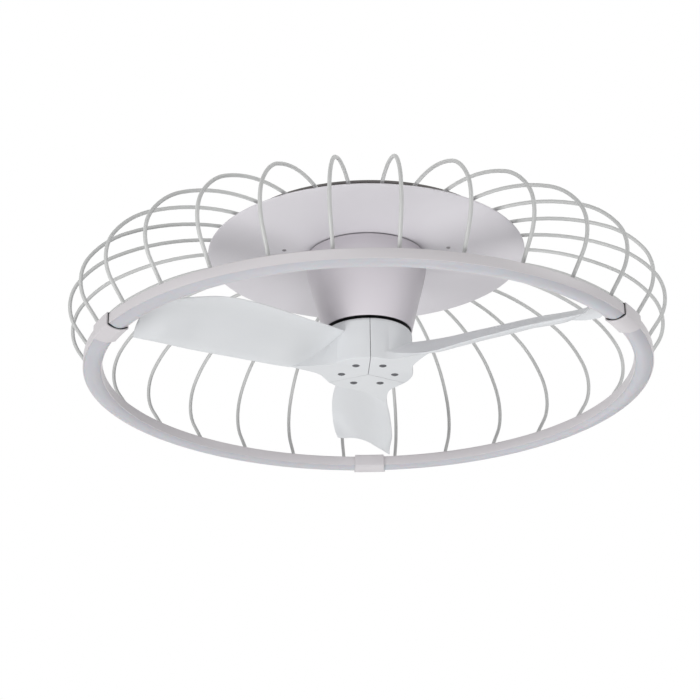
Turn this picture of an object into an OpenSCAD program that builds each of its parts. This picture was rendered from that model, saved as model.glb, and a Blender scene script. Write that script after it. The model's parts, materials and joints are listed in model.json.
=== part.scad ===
// Low ceiling fan inside a wire cage, with a lit ring round the foot of the cage.
// Millimetres, +Z up.  The origin is the centre of the face that meets the ceiling,
// and the fan hangs from it towards -Z.  The front of the fan is towards -Y.

/* [Canopy] */
// Depth of the canopy, from the ceiling to the underside of its disc
canopy_depth = 18; // [14:0.5:24]
// Radius of the visible disc
disc_r = 173; // [165:1:180]
// Thickness of the disc
disc_t = 1.6; // [1.2:0.1:2]
// Outer radius of the pan above the disc
pan_r = 148; // [146:0.5:150]
// Thickness of the pan's sheet
pan_t = 1.2; // [1:0.1:1.5]
// Distance of each fixing screw to the side of the centre
fixing_out = 89; // [84:1:92]
// Distance of both fixing screws in front of the centre
fixing_ahead = 23; // [18:0.5:24]

/* [Motor housing] */
// Radius of the housing's straight collar, where it meets the disc
cone_top_r = 65.2; // [62:0.2:68]
// Height of the collar
collar_h = 18.7; // [15:0.1:22]
// Radius of the housing at its lower edge
cone_low_r = 48.1; // [47.5:0.1:50]
// Height of the housing below the disc
cone_h = 88.3; // [84:0.1:92]
// Thickness of the housing's sheet
cone_t = 1.4; // [1.2:0.1:2]

/* [Rotor] */
// Outer radius of the hub that the three blade roots make up
hub_r = 48; // [47:0.1:50]
// Height of the hub
hub_h = 47.1; // [46:0.1:49]
// Gap between the housing and the hub
hub_gap = 2; // [1:0.1:3]
// Angle of the first blade, counter-clockwise from +X
rotor_turn = 93.4; // [60:0.1:120]
// Radius of the blade tips
tip_r = 262; // [255:0.5:265]
// Greatest thickness of the blade
blade_t = 3.4; // [3:0.1:4.5]

/* [Cage and ring] */
// Outer radius of the lit ring
ring_r = 302; // [297:1:307]
// Width of the ring's channel
ring_w = 20; // [19:0.5:23]
// Height of the ring's channel
ring_h = 10.8; // [10:0.2:13]
// Depth of the ring's top below the ceiling
ring_drop = 149.4; // [147:0.1:151]
// Thickness of the ring's channel
ring_t = 1.2; // [1:0.1:1.5]
// How far the diffuser bulges below the channel
diffuser_dome = 3; // [1:0.1:4]
// Wires in each third of the cage
wires_per_third = 10; // [8:2:12]
// Diameter of a cage wire
wire_d = 4; // [3.5:0.1:4.5]
// Length of a joint sleeve, as an angle on the ring
sleeve_angle = 7; // [6:0.1:7]
// How far a sleeve stands out from the sides of the channel
sleeve_t = 2; // [1.6:0.1:2.5]

/* [Hidden] */
// Kinds of circle: small rounds, large rounds, and the cage and ring
$fn = 48;
fn_big = 144;
eps = 0.01;
clear = 0.05;

// Angles on the cage are counted from the front, counter-clockwise seen from above
front = -90;
third = 120;
wire_step = third / wires_per_third;

// Heights of the main faces
disc_top = disc_t - canopy_depth;
pan_floor = disc_top + pan_t;
collar_low = -canopy_depth - collar_h;
cone_low = -canopy_depth - cone_h;
hub_top = cone_low - hub_gap;
hub_low = hub_top - hub_h;
ring_top = -ring_drop;
ring_low = ring_top - ring_h;

// Rim seal of the pan, and the pan's own rim under it
seal_t = 1.4;
seal_skirt = 2.4;
pan_top = -1;

// Crossbar on the ceiling
bar_l = 206;
bar_w = 60;
bar_t = 2;
bar_lip = 5;
bar_lip_t = 1.5;
slot_spacing = 100;
slot_l = 14;
slot_r = 2.75;
cable_hole_r = 12;
m4_r = 2;
m3_r = 1.5;
slack = 0.3;
bolt_turns = [45:90:315];
cone_screw_turns = [30:120:270];
cone_screw_in = 7;
lead_hole_r = 3;
lead_hole_out = 28;
lead_hole_turn = 200;
disc_in_r = cone_top_r - 12;
cone_flange_r = cone_top_r - 10;
groove_h = 1.4;
groove_d = 3.5;
groove_in = cone_top_r - groove_d;

// Screws: radius and height of the head, and length of the shank
fixing_screw = [2.4, 1.2, canopy_depth - 0.4];
band_screw = [3.5, 2, 5];
cone_screw = [3, 1.8, 7];
flange_screw = [3.8, 2.4, 5.5];
blade_screw = [4, 1.2, 7.5];

// Hoop that holds the cage wires against the pan
band_t = 2;
band_top = -7;
band_low = -14;
band_gap_angle = 1;
band_r = pan_r + clear + band_t;
band_screw_angle = 3 * wire_step;
band_hole_l = 9;

// Centre line of a cage wire in its radial plane: straight, three arcs [radius, turn],
// then straight down to the ring
wire_top = -10.3;
wire_start = 9.5;
wire_arcs = [[245, 27.5], [104, 27.5], [48, 70]];
wire_steps = [4, 3, 7];
rod_sides = 8;
wire_r = wire_d / 2;
lead_angle = 3.5 * wire_step;
lead_bore_r = 1.3;
lead_r = 1.1;
lead_tube_in = 3;
lead_in = 24;
lead_below = 0.8;
wire_foot = wire_path(band_r)[len(wire_path(band_r)) - 1];
lead_hole_slack = 0.3;

// Sleeves and channel joints, as angles from the front
joint_angles = [60.9, 180, 298.3];
channel_gap_angle = 0.1;
sleeve_fit = 0.15;
sleeve_wall = 1.4;
seal_angle = 0.2;
seal_side = 0.7;
seal_wall = 0.6;
diffuser_t = 1.8;
diffuser_fit = 0.1;
dome_steps = 8;
strip_w = 10;
strip_t = 0.5;
strip_tape_t = 1;
led_n = 30;
led_l = 3.5;
led_t = 1;
connector_size = [12, 10, 3];
connector_drop = 5.6;
plug_angle = 43.8;
plug_r = 2.2;
plug_h = 1.2;
plug_in = 3.6;
plug_stem_r = 1.4;
plug_stem_l = 2.4;

// Shaft, bearings and motor
shaft_r = 7.5;
shaft_bore_r = 4;
shaft_top = -4;
shaft_low = hub_low + 4.5;
bearing_r = 16;
bearing_w = 9;
ball_n = 8;
ball_r = 2.2;
ball_pcr = (shaft_r + bearing_r) / 2;
race_t = 2.6;
shaft_slot = [5.2, 6];
circlip_drop = 1.3;
circlip_groove = [0.8, 1.2];
circlip_size = [2.9, 1.1];
circlip_gap = 4;
flange_r = 38;
flange_t = 3;
flange_screw_r = 28;
flange_collar = [4, 4];
can_r = 40.5;
can_t = 2;
can_floor_t = 3;
can_low = hub_low + 3.8;
can_top = hub_top - 3.2;
cover_t = 3;
can_hole_r = 13;
cover_hole_r = shaft_r + 3;
upper_bearing = can_top - cover_t - bearing_w;
lower_bearing = can_low + can_floor_t;
boss_r = 18.5;
core_h = 15;
core_mid = (upper_bearing + lower_bearing + bearing_w) / 2;
core_r = 35;
core_yoke_r = 19.5;
tooth_n = 12;
tooth_w = 6;
shoe_t = 2.4;
shoe_angle = 24;
coil_end = 3.4;
coil_t = 1.9;
coil_from = core_yoke_r + 1.4;
coil_to = core_r - 3.6;
coil_apart = 0.15;
magnet_n = 14;
magnet_t = 2.4;
magnet_h = 18;
magnet_gap_angle = 1.5;

// Hub sectors
sector_gap = 0.6;
sector_wall = 2.2;
sector_floor = 3.8;
floor_round = 1.2;
rim_round = 5.5;
blade_screw_r = 28.5;
blade_screw_angle = 30;

// Blade stations: distance out, then the sideways place and height of the leading
// edge, those of the trailing edge, and the section's arch: how far it rises above the
// line between the edges, and how far it sways above and then below that line
stations = [
    [28, 18, -122, -37, -146, 3, 0],
    [45, 21.5, -121.6, -26.4, -149.6, 3, 0],
    [68, 25.5, -121.6, -24.4, -153.6, 2.4, 1.4],
    [90, 27.7, -121.6, -26.3, -155.4, 0.7, 2.8],
    [115, 29.4, -120.2, -30, -155, 0, 3],
    [145, 31.3, -119.1, -33.7, -154.4, -0.4, 3.1],
    [175, 31.9, -119.3, -36.7, -154.3, 0.1, 3.5],
    [200, 31, -122, -38.8, -154.1, 1.5, 3.8],
    [220, 29.3, -126.8, -38.7, -154.1, 2.9, 4.6],
    [240, 26.1, -132.1, -38.7, -154.2, 5.3, 4.8],
    [262, 21, -134.9, -39.9, -154.5, 9.6, 0.8]
];
// Corners of the tip: depth along the blade, then width across it
lead_corner = [8, 8.4];
trail_corner = [3.3, 28];
blade_rings = 22;
blade_sides = 20;
root_cut_r = hub_r - sector_wall / 2;

// Web under the blade's root, as deep as the hub: distance out, then the sideways place
// of its leading wall and of its trailing wall
web_stations = [
    [33, 12, -34.5],
    [37, 12, -31.2],
    [41, 12, -28.4],
    [46.5, 12, -26],
    [50.5, 3.2, -24.9],
    [58, -4.4, -24.4],
    [66, -11, -24.3],
    [75, -17.5, -24.2],
    [82, -22.3, -24.1]
];

// Electronics
board_r = 40;
board_t = 1.6;
board_z = cone_low + 22;
floor_t = 2;
floor_lift = 0.3;
post_r = 3;
post_out = 34;
driver_size = [90, 38, 11];
driver_at = [-45, 60];
driver_notch = [6, 26, 2];
receiver_size = [52, 32, 10];
receiver_at = [-62, -98];
terminal_size = [40, 17, 11];
terminal_at = [20, -84];
terminal_pitch = 10;
terminal_screw_r = 2.4;
terminal_wire_r = 2;
terminal_wire_z = 3.7;
motor_lead_r = 2.6;
motor_lead_in = 4;
board_lead_r = 2.4;
lead_end = 6;
capacitor_r = 6.2;
capacitor_h = 20;
capacitor_turns = [20, 55];
capacitor_out = 27;
relay_size = [14, 24, 12];
relay_at = [18, 120];
heat_sink_size = [4, 30, 18];
heat_sink_at = [20, -75];
choke_r = [2.8, 6];
choke_h = 8;
choke_at = [27, 225];

white = [0.86, 0.86, 0.87];
paint = [0.80, 0.78, 0.79];
dark = [0.30, 0.30, 0.31];
black = [0.06, 0.06, 0.06];
zinc = [0.62, 0.62, 0.60];
lit = [0.93, 0.95, 0.96];
copper = [0.72, 0.42, 0.22];
green = [0.10, 0.38, 0.22];

// ---------- shared shapes ----------

// Ring of rectangular section between two radii and two heights
module band(r_in, r_out, z_low, z_high, angle = 360, start = 0) {
    rotate([0, 0, start])
        rotate_extrude(angle = angle, $fn = fn_big)
            translate([r_in, z_low]) square([r_out - r_in, z_high - z_low]);
}

// Places its children on the cage, at an angle from the front
module at_cage(angle) {
    rotate([0, 0, front + angle]) children();
}

// Plain domed button of radius r and height h, its seat at z = 0, standing up towards +Z
module dome(r, h) {
    ball = (r * r + h * h) / (2 * h);
    intersection() {
        translate([0, 0, h - ball]) sphere(r = ball);
        cylinder(r = r, h = h);
    }
}

// Domed screw head with a cross slot
module screw_head(r, h) {
    difference() {
        dome(r, h);
        for (turn = [0, 90])
            rotate([0, 0, turn])
                translate([-r * 0.55, -r * 0.12, h * 0.45]) cube([r * 1.1, r * 0.24, h]);
    }
}

// Domed screw of a size [head radius, head height, shank length], head above z = 0 and
// shank below it
module screw(size, shank_r) {
    screw_head(size[0], size[1]);
    translate([0, 0, -size[2]]) cylinder(r = shank_r, h = size[2] + eps);
}

// ---------- canopy ----------

module ceiling_bracket() color(zinc) difference() {
    union() {
        translate([-bar_l / 2, -bar_w / 2, -bar_t]) cube([bar_l, bar_w, bar_t]);
        for (side = [-1, 1])
            translate([-bar_l / 2, side * (bar_w - bar_lip_t) / 2 - bar_lip_t / 2, -bar_t - bar_lip])
                cube([bar_l, bar_lip_t, bar_lip + eps]);
    }
    translate([0, 0, -bar_t - 1]) cylinder(r = cable_hole_r, h = bar_t + 2);
    for (side = [-1, 1]) {
        for (end = [-1, 1])
            translate([side * slot_spacing / 2 + end * (slot_l / 2 - slot_r), 0, -bar_t - 1])
                cylinder(r = slot_r, h = bar_t + 2);
        translate([side * slot_spacing / 2 - slot_l / 2 + slot_r, -slot_r, -bar_t - 1])
            cube([slot_l - 2 * slot_r, 2 * slot_r, bar_t + 2]);
        translate([side * fixing_out, -fixing_ahead, -bar_t - 1])
            cylinder(r = m3_r + clear, h = bar_t + 2);
    }
}

module fixing_screws() color(dark)
    for (side = [-1, 1])
        translate([side * fixing_out, -fixing_ahead, -canopy_depth])
            mirror([0, 0, 1]) screw(fixing_screw, m3_r);

module ceiling_pan() color(dark) difference() {
    union() {
        band(pan_r - pan_t, pan_r, disc_top, pan_top);
        translate([0, 0, disc_top]) cylinder(r = pan_r - pan_t / 2, h = pan_t, $fn = fn_big);
    }
    translate([0, 0, disc_top - 1]) cylinder(r = shaft_r + 3, h = pan_t + 2);
    for (side = [-1, 1])
        translate([side * fixing_out, -fixing_ahead, disc_top - 1])
            cylinder(r = m3_r + slack, h = pan_t + 2);
    for (turn = bolt_turns)
        rotate([0, 0, turn])
            translate([flange_screw_r, 0, disc_top - 1]) cylinder(r = m4_r + clear, h = pan_t + 2);
    for (turn = cone_screw_turns)
        rotate([0, 0, turn])
            translate([cone_top_r - cone_screw_in, 0, disc_top - 1])
                cylinder(r = m3_r + slack, h = pan_t + 2);
    rotate([0, 0, lead_hole_turn])
        translate([lead_hole_out, 0, disc_top - 1]) cylinder(r = lead_hole_r, h = pan_t + 2);
    for (part = [0:2])
        for (side = [-1, 1])
            at_cage(part * third + side * band_screw_angle)
                band_hole(m4_r);
    at_cage(lead_angle) band_hole(wire_r);
}

module pan_rim_seal() color(black)
    rotate_extrude($fn = fn_big)
        polygon([
            [pan_r - pan_t - seal_t, -seal_skirt], [pan_r - pan_t, -seal_skirt],
            [pan_r - pan_t, pan_top], [pan_r, pan_top],
            [pan_r, -seal_skirt], [pan_r + seal_t, -seal_skirt],
            [pan_r + seal_t, 0], [pan_r - pan_t - seal_t, 0]
        ]);

module canopy_disc() color(white) difference() {
    union() {
        band(disc_in_r, disc_r - disc_t / 2, -canopy_depth, disc_top);
        rotate_extrude($fn = fn_big)
            translate([disc_r - disc_t / 2, -canopy_depth + disc_t / 2]) circle(d = disc_t);
    }
    for (side = [-1, 1])
        translate([side * fixing_out, -fixing_ahead, -canopy_depth - 1])
            cylinder(r = m3_r + slack, h = disc_t + 2);
    for (turn = cone_screw_turns)
        rotate([0, 0, turn])
            translate([cone_top_r - cone_screw_in, 0, -canopy_depth - 1])
                cylinder(r = m3_r + slack, h = disc_t + 2);
}

// ---------- cage ----------

// Hole outwards through the pan's side and the hoop, for a screw or a wire of radius r
module band_hole(r) {
    translate([pan_r - band_hole_l / 2, 0, wire_top])
        rotate([0, 90, 0]) cylinder(r = r + clear, h = band_hole_l);
}

// One arc of the hoop round the pan, for a third of the cage
module cage_band(part) color(paint) difference() {
    band(pan_r + clear, band_r, band_low, band_top,
        third - band_gap_angle, front + part * third - third / 2 + band_gap_angle / 2);
    for (side = [-1, 1])
        at_cage(part * third + side * band_screw_angle)
            band_hole(m4_r);
    if (part == 0)
        at_cage(lead_angle) band_hole(wire_r);
}

module band_screws() color(zinc)
    for (part = [0:2])
        for (side = [-1, 1])
            at_cage(part * third + side * band_screw_angle)
                translate([band_r, 0, wire_top]) rotate([0, 90, 0]) screw(band_screw, m4_r);

// Points [distance out, height, heading] along a wire's centre line, from a distance
// out to a height at its foot
function wire_path(start_r, foot = ring_top) =
    let (bend_from = [band_r + wire_start, wire_top, 0])
    concat([[start_r, wire_top, 0], bend_from], wire_bends(bend_from, 0, foot));

// The arcs from number i on, each in wire_steps[i] steps, then the straight foot
function wire_bends(from, i, foot) =
    i == len(wire_arcs)
        ? let (run = (from[1] - foot) / sin(from[2]))
          [[from[0] + run * cos(from[2]), foot, from[2]]]
        : let (
            bend = wire_arcs[i][0],
            steps = wire_steps[i],
            arc = [for (k = [1:steps])
                let (heading = from[2] + wire_arcs[i][1] * k / steps)
                [from[0] + bend * (sin(heading) - sin(from[2])),
                 from[1] + bend * (cos(heading) - cos(from[2])), heading]]
        )
        concat(arc, wire_bends(arc[steps - 1], i + 1, foot));

// Ring of points of radius r about a point of the path; the foot is cut level
function rod_ring(at, r, level) =
    [for (k = [0:rod_sides - 1])
        let (
            turn = 360 * (k + 0.5) / rod_sides,
            across = r * cos(turn),
            off = r * sin(turn),
            slide = level ? off * cos(at[2]) / sin(at[2]) : 0
        )
        [at[0] + off * sin(at[2]) + slide * cos(at[2]), across,
         at[1] + off * cos(at[2]) - slide * sin(at[2])]];

// Closed skin of rings; the faces between them, and one flat face at each end
module lofted(rings) {
    sides = len(rings[0]);
    last = (len(rings) - 1) * sides;
    walls = [for (i = [0:len(rings) - 2], k = [0:sides - 1])
        let (a = i * sides + k, b = i * sides + (k + 1) % sides)
        each [[a, a + sides, b], [b, a + sides, b + sides]]];
    first_face = [for (k = [0:sides - 1]) k];
    last_face = [for (k = [0:sides - 1]) last + sides - 1 - k];
    polyhedron(points = [for (ring = rings) each ring],
        faces = concat(walls, [first_face], [last_face]));
}

// Round rod of radius r along the wire's centre line, started at a distance out
module wire_run(r, start_r, foot = ring_top) {
    path = wire_path(start_r, foot);
    lofted([for (i = [0:len(path) - 1]) rod_ring(path[i], r, i == len(path) - 1)]);
}

module cage_wires(part) color(paint)
    for (i = [0:wires_per_third - 1]) {
        angle = part * third + (i - (wires_per_third - 1) / 2) * wire_step;
        if (angle != lead_angle)
            at_cage(angle) wire_run(wire_r, band_r);
    }

// The one hollow wire: a skin outside and a skin inside, joined at both ends
module lead_tube() color(paint) at_cage(lead_angle) {
    path = wire_path(pan_r - lead_tube_in);
    sides = rod_sides;
    rings = [for (r = [wire_r, lead_bore_r])
        for (i = [0:len(path) - 1]) rod_ring(path[i], r, i == len(path) - 1)];
    inner = len(path) * sides;
    last = (len(path) - 1) * sides;
    walls = [for (i = [0:len(path) - 2], k = [0:sides - 1])
        let (
            a = i * sides + k, b = i * sides + (k + 1) % sides,
            c = inner + a, d = inner + b
        )
        each [[a, a + sides, b], [b, a + sides, b + sides],
            [c, d, c + sides], [d, d + sides, c + sides]]];
    ends = [for (k = [0:sides - 1])
        let (a = k, b = (k + 1) % sides)
        each [[a, b, inner + a], [b, inner + b, inner + a],
            [last + a, last + inner + a, last + b], [last + b, last + inner + a, last + inner + b]]];
    polyhedron(points = [for (ring = rings) each ring], faces = concat(walls, ends));
}

module led_lead() color(black)
    at_cage(lead_angle) wire_run(lead_r, pan_r - lead_in, ring_top - ring_t - lead_below);

// ---------- lit ring ----------

// Profile swept along the third of the ring that is numbered part
module along_ring(part, trim) {
    start = part == 0 ? joint_angles[2] - 360 : joint_angles[part - 1];
    stop = joint_angles[part];
    rotate([0, 0, front + start + trim])
        rotate_extrude(angle = stop - start - 2 * trim, $fn = fn_big) children();
}

module ring_channel(part) color(paint) difference() {
    along_ring(part, channel_gap_angle) polygon([
        [ring_r - ring_w, ring_low], [ring_r - ring_w + ring_t, ring_low],
        [ring_r - ring_w + ring_t, ring_top - ring_t], [ring_r - ring_t, ring_top - ring_t],
        [ring_r - ring_t, ring_low], [ring_r, ring_low],
        [ring_r, ring_top], [ring_r - ring_w, ring_top]
    ]);
    if (part == 0) {
        at_cage(lead_angle) hull()
            for (lean = [0, ring_t / tan(wire_foot[2])])
                translate([wire_foot[0] + lean, 0, ring_top - 2 * ring_t])
                    cylinder(r = lead_r + lead_hole_slack, h = 3 * ring_t);
        at_cage(plug_angle)
            translate([ring_r - plug_in, 0, ring_top - 2 * ring_t])
                cylinder(r = plug_stem_r + clear, h = 3 * ring_t);
    }
}

// Arch below z = 0 of a width and a depth, from its left end to its right end
function arch(width, depth, steps = dome_steps) =
    [for (k = [0:steps])
        let (across = 2 * k / steps - 1)
        [width / 2 * across, depth * (across * across - 1)]];

function backwards(points) = [for (k = [len(points) - 1:-1:0]) points[k]];

module ring_diffuser(part) color(lit) {
    low = arch(ring_w - 2 * ring_t - 2 * diffuser_fit, diffuser_dome);
    along_ring(part, channel_gap_angle * 2)
        translate([ring_r - ring_w / 2, ring_low])
            polygon(concat(low, [for (p = backwards(low)) p + [0, diffuser_t]]));
}

module led_strip(part) color(white) {
    mid = ring_r - ring_w / 2;
    start = part == 0 ? joint_angles[2] - 360 : joint_angles[part - 1];
    pitch = (joint_angles[part] - start) / led_n;
    strip_low = ring_top - ring_t - strip_tape_t - strip_t;
    along_ring(part, sleeve_angle / 4)
        translate([mid - strip_w / 2, strip_low]) square([strip_w, strip_t]);
    for (i = [1:led_n - 2])
        at_cage(start + (i + 0.5) * pitch)
            translate([mid - led_l / 2, -led_l / 2, strip_low - led_t])
                cube([led_l, led_l, led_t + eps]);
}

module strip_connectors() color(black)
    for (angle = [joint_angles[0], joint_angles[2]])
        at_cage(angle)
            translate([ring_r - (ring_w + connector_size[0]) / 2, -connector_size[1] / 2,
                ring_top - ring_t - connector_drop])
                cube(connector_size);

// Section of a closed frame round the ring: gap inside, then sides and top, and a foot
// that follows the diffuser's dome
module ring_frame(gap, side, wall) {
    high = ring_top + gap;
    low = ring_low - gap;
    inside = ring_w + 2 * gap;
    outside = inside + 2 * side;
    translate([ring_r - ring_w / 2, 0])
        difference() {
            polygon(concat(
                [for (p = arch(outside, diffuser_dome)) p + [0, low - wall]],
                [[outside / 2, high + wall], [-outside / 2, high + wall]]));
            polygon(concat(
                [for (p = arch(inside, diffuser_dome)) p + [0, low]],
                [[inside / 2, high], [-inside / 2, high]]));
        }
}

module joint_sleeve(i) color(paint)
    rotate([0, 0, front + joint_angles[i] - sleeve_angle / 2])
        rotate_extrude(angle = sleeve_angle, $fn = fn_big)
            ring_frame(sleeve_fit, sleeve_t, sleeve_wall);

// Rubber ring at one end of a sleeve: side is 1 beyond its end, -1 before its start
module end_seal(i, side) color(black)
    rotate([0, 0, front + joint_angles[i] + side * (sleeve_angle + seal_angle) / 2 - seal_angle / 2])
        rotate_extrude(angle = seal_angle, $fn = fn_big)
            ring_frame(clear, seal_side, seal_wall);

module ring_plug() color(black)
    at_cage(plug_angle)
        translate([ring_r - plug_in, 0, ring_top]) {
            dome(plug_r, plug_h);
            translate([0, 0, -plug_stem_l]) cylinder(r = plug_stem_r, h = plug_stem_l + eps);
        }

// ---------- fixed part of the motor ----------

module cone_housing() color(paint) difference() {
    rotate_extrude($fn = fn_big) polygon([
        [groove_in, -canopy_depth], [cone_flange_r, -canopy_depth],
        [cone_flange_r, -canopy_depth - cone_t], [groove_in - cone_t, -canopy_depth - cone_t],
        [groove_in - cone_t, -canopy_depth - groove_h - cone_t],
        [cone_top_r - cone_t, -canopy_depth - groove_h - cone_t],
        [cone_top_r - cone_t, collar_low], [cone_low_r - cone_t, cone_low],
        [cone_low_r, cone_low], [cone_top_r, collar_low],
        [cone_top_r, -canopy_depth - groove_h], [groove_in, -canopy_depth - groove_h]
    ]);
    for (turn = cone_screw_turns)
        rotate([0, 0, turn])
            translate([cone_top_r - cone_screw_in, 0, -canopy_depth - cone_t - 1])
                cylinder(r = m3_r + clear, h = cone_t + 2);
}

module cone_floor() color(black) difference() {
    translate([0, 0, cone_low + floor_lift])
        cylinder(r = cone_low_r - cone_t, h = floor_t, $fn = fn_big);
    translate([0, 0, cone_low - 1]) cylinder(r = shaft_r, h = floor_lift + floor_t + 2);
}

module cone_screws() color(zinc)
    for (turn = cone_screw_turns)
        rotate([0, 0, turn])
            translate([cone_top_r - cone_screw_in, 0, pan_floor]) screw(cone_screw, m3_r);

module shaft_flange() color(zinc) difference() {
    union() {
        translate([0, 0, pan_floor]) cylinder(r = flange_r, h = flange_t, $fn = fn_big);
        translate([0, 0, pan_floor])
            cylinder(r = shaft_r + flange_collar[0], h = flange_t + flange_collar[1]);
    }
    translate([0, 0, pan_floor - 1]) cylinder(r = shaft_r, h = flange_t + flange_collar[1] + 2);
    for (turn = bolt_turns)
        rotate([0, 0, turn])
            translate([flange_screw_r, 0, pan_floor - 1]) cylinder(r = m4_r + slack, h = flange_t + 2);
    rotate([0, 0, lead_hole_turn])
        translate([lead_hole_out, 0, pan_floor - 1]) cylinder(r = lead_hole_r, h = flange_t + 2);
}

module flange_screws() color(zinc)
    for (turn = bolt_turns)
        rotate([0, 0, turn])
            translate([flange_screw_r, 0, pan_floor + flange_t]) screw(flange_screw, m4_r);

module motor_shaft() color(zinc) difference() {
    translate([0, 0, shaft_low]) cylinder(r = shaft_r, h = shaft_top - shaft_low);
    translate([0, 0, shaft_low - 1]) cylinder(r = shaft_bore_r, h = shaft_top - shaft_low + 2);
    translate([0, -shaft_slot[0] / 2, core_mid + core_h / 2 + 1])
        cube([shaft_r + 1, shaft_slot[0], shaft_slot[1]]);
    rotate_extrude()
        translate([shaft_r - circlip_groove[0], lower_bearing - circlip_drop])
            square([circlip_groove[0] + 1, circlip_groove[1]]);
}

module shaft_circlip() color(zinc) difference() {
    inner = shaft_r - circlip_groove[0] + 2 * clear;
    low = lower_bearing - circlip_drop + clear;
    band(inner, inner + circlip_size[0], low, low + circlip_size[1]);
    translate([0, -circlip_gap / 2, low - 1])
        cube([inner + circlip_size[0] + 1, circlip_gap, circlip_size[1] + 2]);
}

module stator_core() color(zinc) {
    band(shaft_r, core_yoke_r, core_mid - core_h / 2, core_mid + core_h / 2);
    for (i = [0:tooth_n - 1])
        rotate([0, 0, i * 360 / tooth_n]) {
            translate([core_yoke_r - 1, -tooth_w / 2, core_mid - core_h / 2])
                cube([core_r - core_yoke_r - 1, tooth_w, core_h]);
            band(core_r - shoe_t, core_r, core_mid - core_h / 2, core_mid + core_h / 2,
                shoe_angle, -shoe_angle / 2);
        }
}

// One coil round each tooth of the core, cut to a wedge so that the coils stay apart
module stator_coils() color(copper)
    for (i = [0:tooth_n - 1])
        rotate([0, 0, i * 360 / tooth_n])
            difference() {
                translate([coil_from, -tooth_w / 2 - coil_t, core_mid - core_h / 2 - coil_end])
                    cube([coil_to - coil_from, tooth_w + 2 * coil_t, core_h + 2 * coil_end]);
                translate([core_yoke_r, -tooth_w / 2 - clear, core_mid - core_h / 2 - clear])
                    cube([core_r, tooth_w + 2 * clear, core_h + 2 * clear]);
                for (side = [-1, 1])
                    rotate([0, 0, side * 180 / tooth_n])
                        translate([0, (side - 1) * core_r / 2 - side * coil_apart, core_mid - core_h])
                            cube([core_r, core_r, 2 * core_h]);
            }

// Ball bearing whose lower face is at z: the ring on the shaft, the outer ring, the balls
module race(r_in, r_out, z) difference() {
    band(r_in, r_out, z, z + bearing_w);
    rotate_extrude() translate([ball_pcr, z + bearing_w / 2]) circle(r = ball_r + clear, $fn = 32);
}

module inner_race(z) color(zinc) race(shaft_r, shaft_r + race_t, z);
module outer_race(z) color(zinc) race(bearing_r - race_t, bearing_r, z);

module balls(z) color(zinc)
    for (i = [0:ball_n - 1])
        rotate([0, 0, i * 360 / ball_n])
            translate([ball_pcr, 0, z + bearing_w / 2]) sphere(r = ball_r, $fn = 24);

// ---------- rotor ----------

module rotor_can() color(zinc) difference() {
    union() {
        band(can_r - can_t, can_r, can_low, can_top);
        translate([0, 0, can_low]) cylinder(r = can_r - can_t / 2, h = can_floor_t, $fn = fn_big);
        translate([0, 0, can_low]) cylinder(r = boss_r, h = can_floor_t + bearing_w);
    }
    translate([0, 0, lower_bearing]) cylinder(r = bearing_r, h = bearing_w + 1);
    translate([0, 0, can_low - 1]) cylinder(r = can_hole_r, h = can_floor_t + 2);
    for (i = [0:5])
        rotate([0, 0, rotor_turn + blade_screw_angle + i * third / 2])
            translate([blade_screw_r, 0, can_low - 1]) cylinder(r = m4_r + clear, h = can_floor_t + 2);
}

module rotor_cover() color(black) difference() {
    union() {
        translate([0, 0, can_top - cover_t])
            cylinder(r = can_r - can_t, h = cover_t, $fn = fn_big);
        translate([0, 0, upper_bearing]) cylinder(r = boss_r, h = bearing_w + eps);
    }
    translate([0, 0, upper_bearing - 1]) cylinder(r = bearing_r, h = bearing_w + 1);
    translate([0, 0, can_top - cover_t - 1]) cylinder(r = cover_hole_r, h = cover_t + 2);
}

module rotor_magnets() color(dark)
    for (i = [0:magnet_n - 1])
        band(can_r - can_t - magnet_t, can_r - can_t, core_mid - magnet_h / 2, core_mid + magnet_h / 2,
            360 / magnet_n - magnet_gap_angle, i * 360 / magnet_n);

// Value in column col of the stations at a distance out, on a smooth curve through them
function spline(out, col, i = 0) =
    i < len(stations) - 2 && out > stations[i + 1][0]
        ? spline(out, col, i + 1)
        : let (
            before = stations[max(0, i - 1)],
            here = stations[i],
            next = stations[i + 1],
            after = stations[min(len(stations) - 1, i + 2)],
            span = next[0] - here[0],
            t = (out - here[0]) / span,
            slope_here = (next[col] - before[col]) / (next[0] - before[0]) * span,
            slope_next = (after[col] - here[col]) / (after[0] - here[0]) * span
        )
        (2 * t * t * t - 3 * t * t + 1) * here[col] + (t * t * t - 2 * t * t + t) * slope_here
        + (3 * t * t - 2 * t * t * t) * next[col] + (t * t * t - t * t) * slope_next;

// How far an oval corner [depth, width] of the tip has come in from the edge at a
// distance out
function corner_in(out, size) =
    let (past = max(0, (out - tip_r + size[0]) / size[0]))
    size[1] * (1 - sqrt(max(0, 1 - past * past)));

// Height of the section's arch above the line between its edges, at a distance out and a
// share s of the way from the leading edge to the trailing edge; each of the two curves
// has a greatest height of 1
function arch_at(out, s) =
    let (rise = 4 * s * (1 - s), sway = 10.39 * s * (1 - s) * (1 - 2 * s))
    spline(out, 5) * rise + spline(out, 6) * sway;

// Ring of points round the blade at a distance out
function blade_ring(out) =
    let (
        lead = [spline(out, 1), spline(out, 2)],
        trail = [spline(out, 3), spline(out, 4)],
        chord = norm(trail - lead),
        along = (trail - lead) / chord,
        up = [-along[1], along[0]],
        first = corner_in(out, lead_corner) / chord,
        last = 1 - corner_in(out, trail_corner) / chord,
        thick = blade_t * (out < 70 ? 1 + (70 - out) / 60 : 1)
    )
    [for (k = [0:blade_sides - 1])
        let (
            turn = 360 * k / blade_sides,
            s = first + (last - first) * (1 - cos(turn)) / 2,
            side = sin(turn) < 0 ? -1 : 1,
            lift = arch_at(out, s) + side * thick / 2 * pow(abs(sin(turn)), 0.6),
            p = lead + along * chord * s - up * lift
        )
        [out, p[0], p[1]]];

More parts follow.
